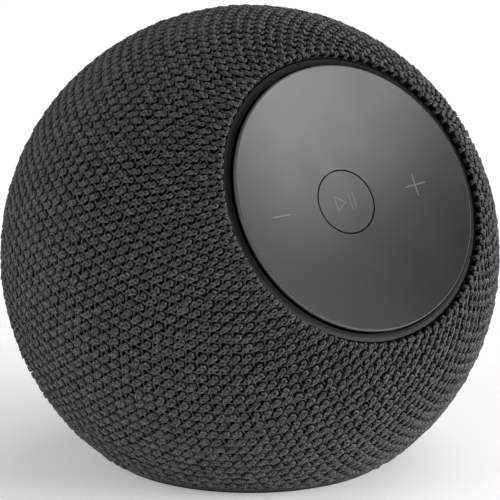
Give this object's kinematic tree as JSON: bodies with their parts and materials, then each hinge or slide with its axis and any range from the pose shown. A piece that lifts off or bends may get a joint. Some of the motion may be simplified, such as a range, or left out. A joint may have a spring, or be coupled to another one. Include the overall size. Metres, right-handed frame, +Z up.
{
  "type": "portable bluetooth speaker",
  "caption": "Ball-shaped portable speaker in a coarse knitted sleeve, with a tilted rocking volume dish and a centre play button, on a flat base.",
  "frame": {"origin": "centre of the foot ring's underside, on the surface that the speaker stands on, under the ball's centre", "axes": "+Z up; the control dish faces -Y and is tilted up by 31 degrees; +X is on the plus mark's side"},
  "size_m": [0.1, 0.0997, 0.091],
  "materials": {
    "knit": "coarse grey spacer knit",
    "housing_plastic": "moulded black",
    "control_plastic": "satin dark grey",
    "bezel_plastic": "satin dark grey",
    "mark_print": "light grey inlay",
    "foot_rubber": "matt black",
    "seal_rubber": "soft black",
    "circuit_board": "green solder mask",
    "component_plastic": "moulded",
    "tinned_steel": "tinned",
    "zinc_steel": "zinc plated",
    "black_steel": "black painted",
    "capacitor_can": "satin",
    "battery_wrap": "heat-shrunk film",
    "ferrite": "sintered magnet",
    "copper_coil": "enamelled winding",
    "cone_paper": "pressed paper",
    "spider_cloth": "resin cloth",
    "light_pipe": "clear"
  },
  "bodies": {
    "root": {"fabric_sleeve": "knit", "front_housing": "housing_plastic", "main_housing": "housing_plastic", "housing_seal": "seal_rubber", "housing_screws": "zinc_steel", "base_plate": "housing_plastic", "foot_ring": "foot_rubber", "base_screws": "zinc_steel", "battery_cradle": "component_plastic", "battery_pack": "battery_wrap", "control_chassis": "housing_plastic", "chassis_screws": "zinc_steel", "bezel_ring": "bezel_plastic", "switch_board": "circuit_board", "dome_switches": "tinned_steel", "main_board": "circuit_board", "main_board_screws": "zinc_steel", "radio_shield": "tinned_steel", "board_capacitors": "capacitor_can", "lead_sockets": "component_plastic", "port_trim": "housing_plastic", "usb_c_socket": "tinned_steel", "port_board": "circuit_board", "status_light": "light_pipe", "driver_basket": "black_steel", "driver_gasket": "seal_rubber", "driver_screws": "zinc_steel", "driver_top_plate": "zinc_steel", "driver_magnet": "ferrite", "driver_yoke": "zinc_steel", "driver_surround": "seal_rubber", "driver_spider": "spider_cloth", "driver_guard": "black_steel", "left_radiator_frame": "component_plastic", "left_radiator_surround": "seal_rubber", "left_radiator_guard": "black_steel", "right_radiator_frame": "component_plastic", "right_radiator_surround": "seal_rubber", "right_radiator_guard": "black_steel"},
    "rocker": {"control_disc": "control_plastic", "minus_mark": "mark_print", "plus_mark": "mark_print"},
    "button": {"centre_button": "control_plastic", "play_pause_mark": "mark_print"},
    "cone": {"driver_cone": "cone_paper", "driver_dust_cap": "cone_paper", "driver_voice_coil": "copper_coil"},
    "left_diaphragm": {"left_radiator_diaphragm": "component_plastic"},
    "right_diaphragm": {"right_radiator_diaphragm": "component_plastic"}
  },
  "joints": [
    {"name": "volume_rocker", "type": "hinge", "parent": "root", "child": "rocker", "pos_m": [0, -0.02956, 0.05897], "axis": [0, 0.5195, 0.8545], "range_deg": [-1.2, 1.2], "stiffness_Nm_per_rad": 1.6},
    {"name": "play_button", "type": "slide", "parent": "root", "child": "button", "axis": [0, 0.8545, -0.5195], "range_m": [0, 0.0006], "stiffness_N_per_m": 1500},
    {"name": "driver_stroke", "type": "slide", "parent": "root", "child": "cone", "axis": [0, 0.5195, 0.8545], "range_m": [-0.0015, 0.0015], "stiffness_N_per_m": 1200},
    {"name": "left_radiator_stroke", "type": "slide", "parent": "root", "child": "left_diaphragm", "axis": [-1, 0, 0], "range_m": [-0.0025, 0.0025], "stiffness_N_per_m": 600},
    {"name": "right_radiator_stroke", "type": "slide", "parent": "root", "child": "right_diaphragm", "axis": [1, 0, 0], "range_m": [-0.0025, 0.0025], "stiffness_N_per_m": 600}
  ]
}
